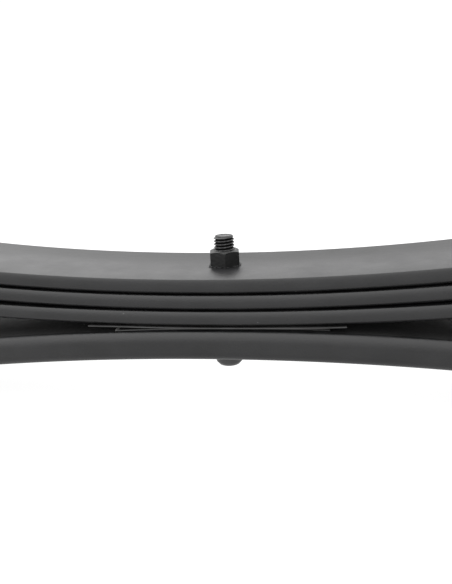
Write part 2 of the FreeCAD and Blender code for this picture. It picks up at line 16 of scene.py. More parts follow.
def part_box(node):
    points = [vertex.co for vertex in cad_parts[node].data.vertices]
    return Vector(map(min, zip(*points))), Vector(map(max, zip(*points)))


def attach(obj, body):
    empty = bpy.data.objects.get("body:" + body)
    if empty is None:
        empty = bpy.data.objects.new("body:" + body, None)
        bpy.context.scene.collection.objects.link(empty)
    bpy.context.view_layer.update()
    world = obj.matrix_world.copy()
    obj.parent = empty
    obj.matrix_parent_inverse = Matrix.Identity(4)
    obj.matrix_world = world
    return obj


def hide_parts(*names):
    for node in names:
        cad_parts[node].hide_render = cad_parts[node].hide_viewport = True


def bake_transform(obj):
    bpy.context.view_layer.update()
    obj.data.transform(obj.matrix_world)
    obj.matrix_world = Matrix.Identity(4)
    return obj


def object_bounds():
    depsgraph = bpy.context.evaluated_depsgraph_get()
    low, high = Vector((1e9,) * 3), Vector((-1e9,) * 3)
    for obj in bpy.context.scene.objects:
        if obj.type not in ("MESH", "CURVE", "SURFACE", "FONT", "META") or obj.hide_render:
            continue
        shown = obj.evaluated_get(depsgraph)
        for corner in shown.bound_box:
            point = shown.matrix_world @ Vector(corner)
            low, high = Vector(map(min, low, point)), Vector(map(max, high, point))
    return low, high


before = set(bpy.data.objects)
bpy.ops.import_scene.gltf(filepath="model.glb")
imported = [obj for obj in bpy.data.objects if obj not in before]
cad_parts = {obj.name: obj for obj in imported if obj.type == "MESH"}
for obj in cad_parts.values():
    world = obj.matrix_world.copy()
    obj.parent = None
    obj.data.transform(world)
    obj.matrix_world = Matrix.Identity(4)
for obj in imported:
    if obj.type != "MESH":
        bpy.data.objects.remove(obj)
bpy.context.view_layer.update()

MM = 0.001

# %% [markdown]
# ## Two small helpers
#
# A node tree is a list of boxes joined by wires. `put` adds a box and wires its inputs in one line, so a
# tree reads from left to right like a recipe. `group_tree` makes an empty tree with named inputs.

# %% Helpers for node trees
def put(tree, kind, inputs=None, **settings):
    """Adds a node. inputs maps a socket's name or number to a value or to another node's output."""
    made = tree.nodes.new(kind)
    for key, value in settings.items():
        setattr(made, key, value)
    for key, value in (inputs or {}).items():
        if isinstance(value, bpy.types.NodeSocket):
            tree.links.new(value, made.inputs[key])
        else:
            made.inputs[key].default_value = value
    return made


def group_tree(name, kind, inputs, outputs):
    """An empty node group. inputs maps a name to its starting number, or to a socket type if it has none."""
    tree = bpy.data.node_groups.new(name, kind)
    for label, value in inputs.items():
        plain = {int: "Int", float: "Float"}.get(type(value), value)
        made = tree.interface.new_socket(label, in_out="INPUT", socket_type="NodeSocket" + plain)
        if plain != value:
            made.default_value = value
    for label, socket in outputs.items():
        tree.interface.new_socket(label, in_out="OUTPUT", socket_type="NodeSocket" + socket)
    return tree, tree.nodes.new("NodeGroupInput").outputs, tree.nodes.new("NodeGroupOutput").inputs


def math_node(tree, operation, a, b=0.0, c=0.0):
    return put(tree, "ShaderNodeMath", {0: a, 1: b, 2: c}, operation=operation).outputs[0]


def finish_tree(tree, shape, material, result):
    """The last two boxes of a Geometry Nodes tree: real faces instead of instances, and a material."""
    real = put(tree, "GeometryNodeRealizeInstances", {0: shape})
    painted = put(tree, "GeometryNodeSetMaterial", {"Geometry": real.outputs[0], "Material": material})
    tree.links.new(painted.outputs[0], result["Geometry"])
    return tree


# %% [markdown]
# ## Shader groups for the finishes
#
# The same few things happen to every surface of a spring that has hung in a paint line: the coat has a
# fine grain, it is thicker in some places than in others, and small flecks of dust and paint stick to it.
# Each effect is one group with named inputs, so that every material can use it with its own values. The
# groups read Object coordinates, which are metres in the spring's own frame, so a pattern runs on from one
# leaf to the next and never depends on how a piece was unwrapped.

# %% Group: coat grain
def build_coat_grain():
    """Fine pimples of a dip coat over shot-peened steel, as a height between 0 and 1."""
    tree, given, result = group_tree(
        "coat_grain", "ShaderNodeTree",
        {"Grain Size": 0.0012, "Peel Size": 0.006, "Peel Share": 0.35},
        {"Height": "Float", "Mottle": "Float"})
    where = put(tree, "ShaderNodeTexCoord").outputs["Object"]
    fine = put(tree, "ShaderNodeTexNoise", {"Vector": where, "Detail": 3.0, "Roughness": 0.6,
                                            "Scale": math_node(tree, "DIVIDE", 1.0, given["Grain Size"])})
    peel = put(tree, "ShaderNodeTexNoise", {"Vector": where, "Detail": 2.0, "Roughness": 0.5,
                                            "Scale": math_node(tree, "DIVIDE", 1.0, given["Peel Size"])})
    mix = put(tree, "ShaderNodeMix", {"Factor": given["Peel Share"], "A": fine.outputs["Fac"],
                                      "B": peel.outputs["Fac"]}, data_type="FLOAT")
    cloud = put(tree, "ShaderNodeTexNoise",
                {"Vector": where, "Scale": 42.0, "Detail": 5.0, "Roughness": 0.62})
    tree.links.new(mix.outputs["Result"], result["Height"])
    tree.links.new(cloud.outputs["Fac"], result["Mottle"])
    return tree


COAT_GRAIN = build_coat_grain()


# %% Group: flecks
def build_flecks():
    """Scattered small spots: 1 on a spot, 0 elsewhere. Each spot sits in its own Voronoi cell."""
    tree, given, result = group_tree(
        "flecks", "ShaderNodeTree",
        {"Spacing": 0.006, "Spot Size": 0.09, "Share": 0.4},
        {"Mask": "Float"})
    where = put(tree, "ShaderNodeTexCoord").outputs["Object"]
    bend = put(tree, "ShaderNodeTexNoise", {"Vector": where, "Scale": 900.0, "Detail": 2.0})
    shifted = put(tree, "ShaderNodeVectorMath",
                  {0: bend.outputs["Color"], 1: (0.0007, 0.0007, 0.0007), 2: where}, operation="MULTIPLY_ADD")
    cells = put(tree, "ShaderNodeTexVoronoi", {"Vector": shifted.outputs[0],
                                               "Scale": math_node(tree, "DIVIDE", 1.0, given["Spacing"])})
    luck = put(tree, "ShaderNodeSeparateColor", {"Color": cells.outputs["Color"]})
    size = math_node(tree, "MULTIPLY", luck.outputs["Green"], given["Spot Size"])
    inside = math_node(tree, "LESS_THAN", cells.outputs["Distance"], size)
    chosen = math_node(tree, "LESS_THAN", luck.outputs["Red"], given["Share"])
    tree.links.new(math_node(tree, "MULTIPLY", inside, chosen), result["Mask"])
    return tree


FLECKS = build_flecks()


# %% [markdown]
# ## The materials
#
# Every finish is a Principled shader whose colour, roughness and bump come from the groups. `finish` is
# the common recipe. It mixes a base colour with a second colour where the coat is thin, lays flecks over
# it, and adds the grain as bump. The values that are the same all over a piece are set on the shader.

# %% Recipe for a finish
def finish(name, colour, thin, roughness, metallic=0.0, grain=(0.0012, 0.006, 0.35), bump=0.15,
           fleck=(0.006, 0.09, 0.4), fleck_colour=(0.2, 0.2, 0.19), specular=0.5, crown=0.0):
    """A colour is one grey or three numbers. crown bows the shading across the spring, as if a face were domed."""
    colour, thin, fleck_colour = ((*c, 1) if isinstance(c, tuple) else (c, c, c, 1)
                                  for c in (colour, thin, fleck_colour))
    made = bpy.data.materials.new(name)
    made.use_nodes = True
    tree = made.node_tree
    shader = tree.nodes["Principled BSDF"]
    grained = put(tree, "ShaderNodeGroup", dict(zip(("Grain Size", "Peel Size", "Peel Share"), grain)),
                  node_tree=COAT_GRAIN)
    spots = put(tree, "ShaderNodeGroup", dict(zip(("Spacing", "Spot Size", "Share"), fleck)), node_tree=FLECKS)
    spread = put(tree, "ShaderNodeMapRange",
                 {"Value": grained.outputs["Mottle"], "From Min": 0.35, "From Max": 0.68})
    base = put(tree, "ShaderNodeMix", {"Factor": spread.outputs[0], "A": colour, "B": thin},
               data_type="RGBA")
    fleck_mix = put(tree, "ShaderNodeMix", {"Factor": spots.outputs["Mask"], "A": base.outputs[2],
                                            "B": fleck_colour}, data_type="RGBA")
    rough = put(tree, "ShaderNodeMapRange",
                {"Value": grained.outputs["Mottle"], "From Min": 0.36, "From Max": 0.64,
                 "To Min": roughness[0], "To Max": roughness[1]})
    lift = put(tree, "ShaderNodeMath", {0: spots.outputs["Mask"], 1: 0.6, 2: grained.outputs["Height"]},
               operation="MULTIPLY_ADD")
    relief = put(tree, "ShaderNodeBump", {"Height": lift.outputs[0], "Strength": bump, "Distance": 0.0004})
    if crown:
        where = put(tree, "ShaderNodeTexCoord").outputs["Object"]
        across = put(tree, "ShaderNodeSeparateXYZ", {0: where}).outputs["Y"]
        swell = math_node(tree, "MULTIPLY", math_node(tree, "MULTIPLY", across, across), -crown)
        bowed = put(tree, "ShaderNodeBump", {"Height": swell, "Strength": 1.0, "Distance": 1.0})
        tree.links.new(bowed.outputs[0], relief.inputs["Normal"])
    tree.links.new(fleck_mix.outputs[2], shader.inputs["Base Color"])
    tree.links.new(rough.outputs[0], shader.inputs["Roughness"])
    tree.links.new(relief.outputs[0], shader.inputs["Normal"])
    shader.inputs["Metallic"].default_value = metallic
    shader.inputs["Specular IOR Level"].default_value = specular
    return made


LEAF_COAT = finish("leaf_coat", (0.003, 0.003, 0.0033), (0.006, 0.006, 0.0065), roughness=(0.34, 0.44),
                   grain=(0.0009, 0.005, 0.4), bump=0.4, fleck=(0.009, 0.05, 0.3), fleck_colour=0.05,
                   specular=0.4, crown=0.7)
DRY_COAT = finish("dry_coat", 0.006, 0.013, roughness=(0.6, 0.75), bump=0.6, grain=(0.0016, 0.005, 0.5),
                  specular=0.3)
# painted shade: a near-black, barely reflecting finish that stands in for the shade in the thread's roots
ROOT_SHADE_COAT = finish("root_painted_shade", 0.0012, 0.003, roughness=(0.6, 0.8), specular=0.08)
NUT_COAT = finish("nut_coat", (0.002, 0.002, 0.0022), 0.005, roughness=(0.24, 0.4), bump=0.65,
                  grain=(0.0005, 0.0016, 0.6), fleck=(0.0016, 0.12, 0.35), fleck_colour=0.04, specular=0.32)
THREAD_COAT = finish("thread_coat", (0.016, 0.016, 0.017), 0.05, metallic=0.3, roughness=(0.3, 0.42), bump=0.5,
                     grain=(0.0005, 0.0015, 0.5), fleck=(0.002, 0.1, 0.2), fleck_colour=0.1)
HEAD_COAT = finish("head_coat", (0.014, 0.014, 0.015), 0.03, roughness=(0.3, 0.45),
                   grain=(0.0006, 0.003, 0.3))
LINER_SHEET = finish("liner_sheet", 0.01, 0.03, metallic=0.2, roughness=(0.35, 0.55),
                     grain=(0.0005, 0.004, 0.4), fleck=(0.003, 0.12, 0.5), fleck_colour=(0.05, 0.045, 0.04))
SHEARED = finish("sheared_edge", (0.35, 0.35, 0.34), (0.5, 0.49, 0.47), metallic=0.6, roughness=(0.35, 0.5),
                 grain=(0.0004, 0.002, 0.4))
ZINC = finish("zinc_plate", (0.42, 0.42, 0.40), (0.55, 0.54, 0.5), metallic=0.9, roughness=(0.3, 0.5),
              grain=(0.0006, 0.003, 0.3), fleck=(0.004, 0.08, 0.3), fleck_colour=(0.25, 0.23, 0.2))
BARE_STEEL = finish("rolled_steel", (0.22, 0.22, 0.23), (0.32, 0.31, 0.3), metallic=0.9, roughness=(0.35, 0.55),
                    grain=(0.0006, 0.005, 0.3), fleck_colour=(0.12, 0.08, 0.05))
RUBBER = finish("bush_rubber", 0.012, (0.028, 0.027, 0.026), roughness=(0.6, 0.8),
                grain=(0.0008, 0.004, 0.3), bump=0.25, fleck=(0.004, 0.08, 0.3), specular=0.35)
PAD_PLASTIC = finish("pad_plastic", (0.018, 0.018, 0.02), (0.035, 0.035, 0.037), roughness=(0.5, 0.7),
                     grain=(0.0004, 0.003, 0.2), bump=0.2, specular=0.4)
CLIP_PAINT = finish("clip_paint", (0.014, 0.014, 0.015), 0.03, roughness=(0.3, 0.5), fleck=(0.005, 0.12, 0.5))
print("materials:", sorted(m.name for m in bpy.data.materials if m.use_nodes))


# %% [markdown]
# ## Turning a tree's result into a piece
#
# `grow` runs a Geometry Nodes tree on a starting curve or mesh and keeps the result as a plain mesh.
# `settle` does what every finished mesh needs: its faces point outwards, and its edges are smooth where
# they turn gently and sharp where they turn hard.

# %% Helpers for pieces
def show(name, data):
    """A new object in the scene."""
    made = bpy.data.objects.new(name, data)
    bpy.context.collection.objects.link(made)
    return made


def evaluated_mesh(piece):
    """A piece as its modifiers leave it, as a plain mesh."""
    seen = bpy.context.evaluated_depsgraph_get()
    return bpy.data.meshes.new_from_object(piece.evaluated_get(seen), depsgraph=seen)


def settle(mesh, sharp=32.0):
    shape = bmesh.new()
    shape.from_mesh(mesh)
    bmesh.ops.remove_doubles(shape, verts=shape.verts, dist=1e-6)
    bmesh.ops.recalc_face_normals(shape, faces=shape.faces)
    shape.to_mesh(mesh)
    shape.free()
    mesh.shade_smooth()
    mesh.set_sharp_from_angle(angle=math.radians(sharp))


def add_piece(name, mesh, material, sharp=32.0):
    settle(mesh, sharp)
    mesh.materials.clear()
    mesh.materials.append(material)
    return show(name, mesh)


def grow(name, tree, start, values, material):
    holder = show(name + "_start", start)
    modifier = holder.modifiers.new(name, "NODES")
    modifier.node_group = tree
    values = {**values, "Material": material}
    for item in tree.interface.items_tree:
        if item.in_out == "INPUT" and item.name in values:
            modifier[item.identifier] = values[item.name]
    mesh = evaluated_mesh(holder)
    mesh.name = name
    bpy.data.objects.remove(holder)
    return add_piece(name, mesh, material)


def paint_where(piece, material, test):
    """Gives a second finish to the faces whose middle and normal pass a test. Lengths are millimetres."""
    piece.data.materials.append(material)
    number = len(piece.data.materials) - 1
    for face in piece.data.polygons:
        if test(face.center / MM, face.normal):
            face.material_index = number


def settle_node(piece, node, body):
    """Hides the CAD node that a piece stands for and parents the piece to the body it moves with."""
    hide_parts(node)
    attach(piece, body)
    print(piece.name, "faces", len(piece.data.polygons), "rides", body)


def path_curve(name, points, widths=None):
    """An open poly line in metres. Its point radius carries the width share of the leaf there."""
    curve = bpy.data.curves.new(name, "CURVE")
    curve.dimensions = "3D"
    line = curve.splines.new("POLY")
    line.points.add(len(points) - 1)
    for i, (x, y, z) in enumerate(points):
        line.points[i].co = (x * MM, y * MM, z * MM, 1)
        line.points[i].radius = widths[i] if widths else 1.0
    return curve


# %% [markdown]
# Some pieces follow a rule that is easier to state point by point. `ring_mesh` joins rings of points with
# quads, and `drill` cuts round holes with Blender's own boolean.

# %% Rings and holes
def ring_mesh(name, rings, closed=True):
    """A mesh through rings of equally many points. closed joins the last ring to the first."""
    count = len(rings[0])
    points = [p for ring in rings for p in ring]
    faces = []
    rows = len(rings) if closed else len(rings) - 1
    for i in range(rows):
        a, b = i * count, ((i + 1) % len(rings)) * count
        faces += [(a + j, a + (j + 1) % count, b + (j + 1) % count, b + j) for j in range(count)]
    if not closed:
        faces += [tuple(range(count)), tuple(range(len(points) - count, len(points)))]
    mesh = bpy.data.meshes.new(name)
    mesh.from_pydata([tuple(c * MM for c in p) for p in points], [], faces)
    return mesh


def move_rings(rings, matrix):
    return [[tuple(matrix @ Vector(p)) for p in ring] for ring in rings]


def disc_ring(radius, z, steps=96):
    angles = [2 * math.pi * j / steps for j in range(steps)]
    return [(radius * math.cos(a), radius * math.sin(a), z) for a in angles]


def ring_piece(name, rings, matrix, material, closed=True, sharp=32.0):
    """A piece through rings that are moved by a matrix."""
    return add_piece(name, ring_mesh(name, move_rings(rings, matrix), closed), material, sharp)


def local_frame(x, z, slope):
    return Matrix.Translation((x, 0, z)) @ Matrix.Rotation(-slope, 4, "Y")


def drill(piece, holes):
    """Cuts round holes. holes lists (matrix, radius, depth): a drill goes along Z from the matrix's origin."""
    for matrix, radius, depth in holes:
        rings = move_rings([disc_ring(radius, z, 64) for z in (0.0, depth)], matrix)
        bit = show("bit", ring_mesh("bit", rings, closed=False))
        settle(bit.data)
        cut = piece.modifiers.new("drill", "BOOLEAN")
        cut.operation, cut.solver, cut.object = "DIFFERENCE", "EXACT", bit
        mesh = evaluated_mesh(piece)
        piece.modifiers.clear()
        piece.data = mesh
        bpy.data.objects.remove(bit)
    settle(piece.data)


# %% [markdown]
# ## The lines of the leaves
#
# A leaf is a flat bar bent to an arc. The three thin leaves are hollow on top, and the overload leaf at the
# bottom is crowned. A lower leaf touches the one above only at the bolt and, through a pad, at its tips, so
# each half of it is two arcs: first flatter than the leaf above, then tighter. These sums are the same as
# those of the drawing, with lengths in millimetres.

# %% Arcs
FRONT, REAR = -1, 1                               # which half of the spring, as the sign of its X
SIDE_NAME = {FRONT: "front", REAR: "rear"}
WIDTH, THIN, THICK = 60.0, 7.5, 14.5
# upper edge depth and height, lower edge depth and height of a leaf's rolled sides
MAIN_EDGE, THIN_EDGE, THICK_EDGE = (0.7, 3.4, 4.6, 3.3), (1.3, 3.4, 4.6, 3.3), (3.4, 5.6, 4.0, 4.6)
MAIN_TOP, TOP_RADIUS = 39.04, 1150.0              # the main leaf's top face
MAIN_RADIUS = TOP_RADIUS + THIN / 2
EYE_MID = {FRONT: (42.0 + THIN) / 2, REAR: (36.0 + THIN) / 2}
EYE_REACH = {FRONT: 600.0, REAR: 650.0}
LEAF_REACH = {"second": {FRONT: 500.0, REAR: 545.0}, "third": {FRONT: 380.0, REAR: 410.0}}
PAD_SETBACK, CLIP_SETBACK = 26.0, 75.0            # from a leaf's tip to its pad's button and its clip's rivet
LANDING = 55.0                                    # how far a tip follows the leaf above
TRIM = 12.0                                       # length of the trimmed corners at a tip
LINE_STEP = 6.0                                   # longest step along a leaf's mid line


def on_arc(cx, cz, r, slope, sign=1):
    return cx + sign * r * math.sin(slope), cz - sign * r * math.cos(slope)


def arc_line(cx, cz, r, start, end, step, sign=1):
    count = max(2, math.ceil(abs(end - start) * r / step))
    return [on_arc(cx, cz, r, start + (end - start) * i / count, sign) for i in range(count + 1)]


def main_half(side):
    """Mid line of half the main leaf, from the bolt out, with the eye curled at its end."""
    cz = MAIN_TOP - THIN / 2 + MAIN_RADIUS
    mid = EYE_MID[side]
    slope = side * math.asin(EYE_REACH[side] / (MAIN_RADIUS - mid))
    ex, ez = on_arc(0, cz, MAIN_RADIUS - mid, slope)
    outer = mid + THIN / 2
    turn = 2 * math.pi - math.acos((outer - THIN + 2.0) / outer)
    leaf = arc_line(0, cz, MAIN_RADIUS, 0, slope, LINE_STEP)
    return leaf[:-1] + arc_line(ex, ez, mid, slope, slope + side * turn, 2.5), (ex, ez)


def nested_arcs(top, upper, gap, reach, side):
    """Arcs (cx, cz, r, start, end) of half a leaf that lies under upper with a gap at its tip."""
    ux, uz, ur = upper
    r_land = ur + THIN + gap
    tip = math.asin((side * reach - ux) / r_land)
    land = math.asin((side * (reach - LANDING) - ux) / r_land)
    first, z0 = land / 2, top - THIN / 2
    a11, a12 = math.sin(first), math.sin(land) - math.sin(first)
    a21, a22 = 1 - math.cos(first), math.cos(first) - math.cos(land)
    b1, b2 = ux + r_land * math.sin(land), uz - r_land * math.cos(land) - z0
    det = a11 * a22 - a12 * a21
    r1, r2 = (b1 * a22 - a12 * b2) / det, (a11 * b2 - b1 * a21) / det
    c2 = ((r1 - r2) * math.sin(first), z0 + r1 - (r1 - r2) * math.cos(first))
    return [(0.0, z0 + r1, r1, 0.0, first), (*c2, r2, first, land), (ux, uz, r_land, land, tip)]


def arc_at(arcs, x):
    for arc in arcs:
        if abs(x) <= abs(on_arc(*arc[:3], arc[4])[0]) + 1e-6:
            return arc
    return arcs[-1]


PITCH = THIN + 0.1
MAIN_ARC = (0.0, MAIN_TOP - THIN / 2 + MAIN_RADIUS, MAIN_RADIUS)
SECOND_PAD, THIRD_PAD = 3.0, 5.0
SECOND = {side: nested_arcs(MAIN_TOP - PITCH, MAIN_ARC, SECOND_PAD, reach, side)
          for side, reach in LEAF_REACH["second"].items()}
THIRD = {side: nested_arcs(MAIN_TOP - 2 * PITCH, arc_at(SECOND[side], side * reach)[:3], THIRD_PAD, reach, side)
         for side, reach in LEAF_REACH["third"].items()}
UNDER_RADIUS = 1406.0
OVERLOAD_RADIUS = UNDER_RADIUS + THICK / 2
OVERLOAD_REACH = {FRONT: 260.0, REAR: 280.0}
EYES = {side: main_half(side)[1] for side in (FRONT, REAR)}
print("eyes at", {k: [round(v, 2) for v in e] for k, e in EYES.items()})


# %% [markdown]
# ## The leaf tree
#
# A rolled bar has the same section all the way along, so a sweep is the natural way to make it: a rounded
# rectangle is carried along the mid line. The trimmed corners at the tips come from a width share stored in
# the curve's radius. The tree reads that share, sets the radius back to 1 so that the thickness stays, and
# after the sweep scales only the width by it.

# %% Tree: rolled leaf
def build_leaf_tree():
    tree, given, result = group_tree(
        "rolled_leaf", "GeometryNodeTree",
        {"Geometry": "Geometry", "Width": 0.06, "Thickness": 0.0075, "Edge Depth": 0.0026, "Edge Height": 0.0034,
         "Lower Depth": 0.0042, "Lower Height": 0.0023, "Material": "Material"},
        {"Geometry": "Geometry"})

    def work(operation, *values):
        return math_node(tree, operation, *values)

    share = put(tree, "GeometryNodeInputRadius").outputs[0]
    kept = put(tree, "GeometryNodeCaptureAttribute", {"Geometry": given["Geometry"]}, domain="POINT")
    kept.capture_items.new("FLOAT", "Width Share")
    tree.links.new(share, kept.inputs[1])
    line = put(tree, "GeometryNodeSetCurveRadius", {"Curve": kept.outputs[0], "Radius": 1.0})
    stretch = work("DIVIDE", given["Edge Height"], given["Edge Depth"])
    wide = work("MULTIPLY", given["Width"], stretch)
    bar = put(tree, "GeometryNodeCurvePrimitiveQuadrilateral",
              {"Width": wide, "Height": given["Thickness"]}, mode="RECTANGLE")
    rounded = put(tree, "GeometryNodeFilletCurve",
                  {"Curve": bar.outputs[0], "Radius": given["Edge Height"]}, mode="POLY")
    rounded.inputs["Count"].default_value = 12
    squeeze = put(tree, "ShaderNodeCombineXYZ", {"X": work("DIVIDE", 1.0, stretch), "Y": 1.0, "Z": 1.0})
    even = put(tree, "GeometryNodeTransform", {"Geometry": rounded.outputs[0], "Scale": squeeze.outputs[0]})
    spot = put(tree, "ShaderNodeSeparateXYZ", {0: put(tree, "GeometryNodeInputPosition").outputs[0]}).outputs
    lower = work("GREATER_THAN", spot["Y"], 0.0)      # the section's Y points down on the leaf
    half = work("MULTIPLY", given["Width"], 0.5)
    inset = work("SUBTRACT", half, work("ABSOLUTE", spot["X"]))
    deeper = work("DIVIDE", given["Lower Depth"], given["Edge Depth"])
    reach = work("MULTIPLY", inset, work("SUBTRACT", deeper, 1.0))
    pulled = work("SUBTRACT", work("SUBTRACT", half, inset), work("MULTIPLY", reach, lower))
    side_x = work("MULTIPLY", pulled, work("SIGN", spot["X"]))
    floor_y = work("MULTIPLY", given["Thickness"], 0.5)
    above = work("SUBTRACT", spot["Y"], floor_y)
    share_y = work("DIVIDE", given["Lower Height"], given["Edge Height"])
    low_y = work("MULTIPLY_ADD", above, share_y, floor_y)
    drop = work("MULTIPLY", work("SUBTRACT", low_y, spot["Y"]), lower)
    shaped = put(tree, "ShaderNodeCombineXYZ", {"X": side_x, "Y": work("ADD", spot["Y"], drop)})
    section = put(tree, "GeometryNodeSetPosition",
                  {"Geometry": even.outputs[0], "Position": shaped.outputs[0]})
    swept = put(tree, "GeometryNodeCurveToMesh",
                {"Curve": line.outputs[0], "Profile Curve": section.outputs[0], "Fill Caps": True})
    place = put(tree, "GeometryNodeInputPosition").outputs[0]
    parts = put(tree, "ShaderNodeSeparateXYZ", {0: place}).outputs
    across = work("MULTIPLY", parts["Y"], kept.outputs[1])
    trimmed = put(tree, "ShaderNodeCombineXYZ", {"X": parts["X"], "Y": across, "Z": parts["Z"]})
    moved = put(tree, "GeometryNodeSetPosition",
                {"Geometry": swept.outputs[0], "Position": trimmed.outputs[0]})
    return finish_tree(tree, moved.outputs[0], given["Material"], result)


LEAF_TREE = build_leaf_tree()


def trim_share(line, both=False):
    """Width share along a line: 1, down to the trimmed width over the last stretch of a tip."""
    length = [0.0]
    for (xa, za), (xb, zb) in zip(line, line[1:]):
        length.append(length[-1] + math.hypot(xb - xa, zb - za))
    total = length[-1]
    to_tip = [min(total - s, s) if both else total - s for s in length]
    return [1.0 if d >= TRIM else 1.0 - (TRIM - d) / (WIDTH / 2) for d in to_tip]


def roll_leaf(name, line, thickness, edge, widths=None):
    curve = path_curve(name, [(x, 0.0, z) for x, z in line], widths)
    values = {"Width": WIDTH * MM, "Thickness": thickness * MM}
    values.update(zip(("Edge Depth", "Edge Height", "Lower Depth", "Lower Height"), (e * MM for e in edge)))
    piece = grow(name, LEAF_TREE, curve, values, LEAF_COAT)
    print(name, "faces", len(piece.data.polygons))
    return piece


# %% [markdown]
# ## Rolling the leaves
#
# The real leaves bend, so each thin leaf is made as two halves that meet at the bolt.


def bend_with(piece, node):
    """Hides the CAD leaf that a half stands for and bakes the half's place into its mesh."""
    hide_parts(node)
    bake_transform(piece)


def tip_frame(arc, x):
    """A frame on a leaf's mid line at that x, with Z normal to the leaf."""
    slope = math.asin((x - arc[0]) / arc[2])
    return local_frame(*on_arc(*arc[:3], slope), slope)


def nested_line(arcs):
    """Mid line of half a nested leaf, with closer points where its corners are trimmed."""
    line = []
    for arc in arcs:
        line = line[:-1] + arc_line(*arc, LINE_STEP)
    tip = line[-1]
    cx, cz, r, _, end = arcs[-1]
    near = arc_line(cx, cz, r, end - math.copysign(TRIM, end) / r, end, 3.0)
    return [p for p in line if math.dist(p, tip) > TRIM + 0.5] + near


for side in (FRONT, REAR):
    half = roll_leaf(f"main_leaf_{SIDE_NAME[side]}", main_half(side)[0], THIN, MAIN_EDGE)
    bend_with(half, "main_leaf")
    for leaf, arcs in (("second", SECOND[side]), ("third", THIRD[side])):
        node = leaf + "_leaf"
        line = nested_line(arcs)
        half = roll_leaf(f"{node}_{SIDE_NAME[side]}", line, THIN, THIN_EDGE, trim_share(line))
        reach = LEAF_REACH[leaf][side]
        holes = [(tip_frame(arcs[-1], side * (reach - PAD_SETBACK)), 5.5)]
        if leaf == "third":
            x = side * (reach - CLIP_SETBACK)
            holes.append((tip_frame(arc_at(arcs, x), x), 4.9))
        drill(half, [(matrix @ Matrix.Translation((0, 0, -8)), radius, 16.0) for matrix, radius in holes])
        bend_with(half, node)

# %% The overload leaf
overload_ends = [-math.asin(side * reach / OVERLOAD_RADIUS) for side, reach in OVERLOAD_REACH.items()]
overload_line = arc_line(0, -UNDER_RADIUS, OVERLOAD_RADIUS, *overload_ends, 4.0, -1)
overload_share = trim_share(overload_line, both=True)
overload = roll_leaf("overload_leaf_rolled", overload_line, THICK, THICK_EDGE, overload_share)
paint_where(overload, DRY_COAT, lambda at, up: up.z > 0.97)
settle_node(overload, "overload_leaf", "seat")


# %% [markdown]
# ## Hexagons
#
# A nut starts as a hexagonal bar, and a lathe takes its corners off with a cone, which leaves the curved
# line on each flat. The same can be worked out point by point: round the nut, each angle has a hexagon
# radius, and the cone cuts the wall where its own radius gets smaller. That gives clean rings of faces.

# %% Hexagon body
SOFTNESS = 70.0            # the higher it is, the sharper are a hexagon's corners
CHAMFER_CONE = math.tan(math.radians(30.0))


def hex_radius(angle, flats):
    """Distance from the axis to a hexagon with slightly rounded corners, in the direction of that angle."""
    total = sum(max(0.0, math.cos(angle - math.radians(60 * k)) / (flats / 2)) ** SOFTNESS for k in range(6))
    return total ** (-1 / SOFTNESS)


def hex_rings(flats, height, bore, turn=0.0, chamfered=(True, True), steps=180, face_share=0.95):
    """Rings of a hexagon with a bore, from the bore's bottom round the outside to its top. bore 0 is solid.
    face_share is the width of the round face that the chamfer leaves, as a share of the flats."""
    face = flats / 2 * face_share
    corner = flats / math.sqrt(3)
    profile = []
    for i in range(steps):
        angle = 2 * math.pi * i / steps
        wall = min(hex_radius(angle, flats), corner)
        drop = max(0.02, (wall - face) * CHAMFER_CONE)
        low = drop if chamfered[0] else 0.02
        high = height - (drop if chamfered[1] else 0.02)
        row = [(face if chamfered[0] else wall - 0.02, 0.0), (wall, low), (wall, high),
               (face if chamfered[1] else wall - 0.02, height)]
        if bore:
            lead = 0.8
            row = [(bore, lead), (bore + lead, 0.0)] + row + [(bore + lead, height), (bore, height - lead)]
        a = angle + math.radians(turn)
        profile.append([(r * math.cos(a), r * math.sin(a), z) for r, z in row])
    return [list(ring) for ring in zip(*profile)]


def turned(section, steps, vary=None, start=0.0, end=2 * math.pi):
    """Loops of a section of (radius, height) points carried round the Z axis, as on a lathe. vary may move a
    point by its number and its angle."""
    whole = end - start > 2 * math.pi - 1e-9
    loops = []
    for i in range(steps if whole else steps + 1):
        angle = start + (end - start) * i / steps
        points = [vary(k, r, z, angle) if vary else (r, z) for k, (r, z) in enumerate(section)]
        loops.append([(r * math.cos(angle), r * math.sin(angle), z) for r, z in points])
    return loops


def axle(side):
    """Turns a piece that stands along Z to lie along Y on the axis of an eye."""
    x, z = EYES[side]
    return Matrix.Translation((x, 0, z)) @ Matrix.Rotation(math.radians(-90), 4, "X")


# %% [markdown]
# ## The centre bolt and its nut
#
# The bolt passes up through all the leaves. Above the nut its thread shows, and a thread is a groove that
# climbs by one pitch in each turn. Going up the bolt ring by ring, the radius of each point depends on how
# far its height and its angle are out of step. The groove's root gets a near-black finish that barely
# reflects, a painted shade, so its root is darker than its crest.

# %% Threaded end as one skin
def thread_rings(radius, pitch, low, high, chamfer, depth=0.92, steps=96, fine=14):
    """Rings up a threaded end. The radius falls into a groove that climbs by one pitch in each turn."""
    rows = math.ceil((high - low) / pitch * fine)
    rings = []
    for i in range(rows + 1):
        z = low + (high - low) * i / rows
        ring = []
        for j in range(steps):
            angle = 2 * math.pi * j / steps
            phase = (z / pitch - angle / (2 * math.pi) + 0.5) % 1.0
            groove = max(0.0, min(1.0, (0.5 - abs(phase - 0.5)) * 2.6 - 0.16))
            run_out = min(1.0, max(0.0, (z - low) / pitch))
            r = min(radius - depth * groove * run_out, radius - chamfer + (high - z))
            ring.append((r * math.cos(angle), r * math.sin(angle), z))
        rings.append(ring)
    return rings


